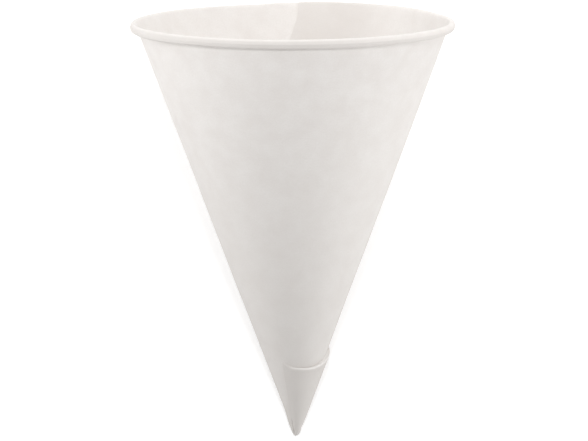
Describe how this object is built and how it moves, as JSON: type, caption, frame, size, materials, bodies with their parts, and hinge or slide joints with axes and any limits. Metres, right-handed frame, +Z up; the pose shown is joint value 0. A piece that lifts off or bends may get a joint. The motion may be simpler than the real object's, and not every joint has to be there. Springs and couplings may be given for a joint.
{
  "type": "cone paper cup",
  "caption": "Conical paper drinking cup with a rolled rim, a glued lap down its back and a wound tip, lying on its side as it comes to rest.",
  "frame": {"origin": "bottom centre of the lying cup's box, on the surface that it rests on", "axes": "+Y from the tip towards the mouth, level; +Z up; the cup's own axis leans up 21.2 degrees from +Y in the YZ plane"},
  "size_m": [0.076, 0.1056, 0.0713],
  "materials": {
    "paper": "matt uncoated white paper"
  },
  "bodies": {
    "root": {"cup": "paper"}
  },
  "joints": []
}
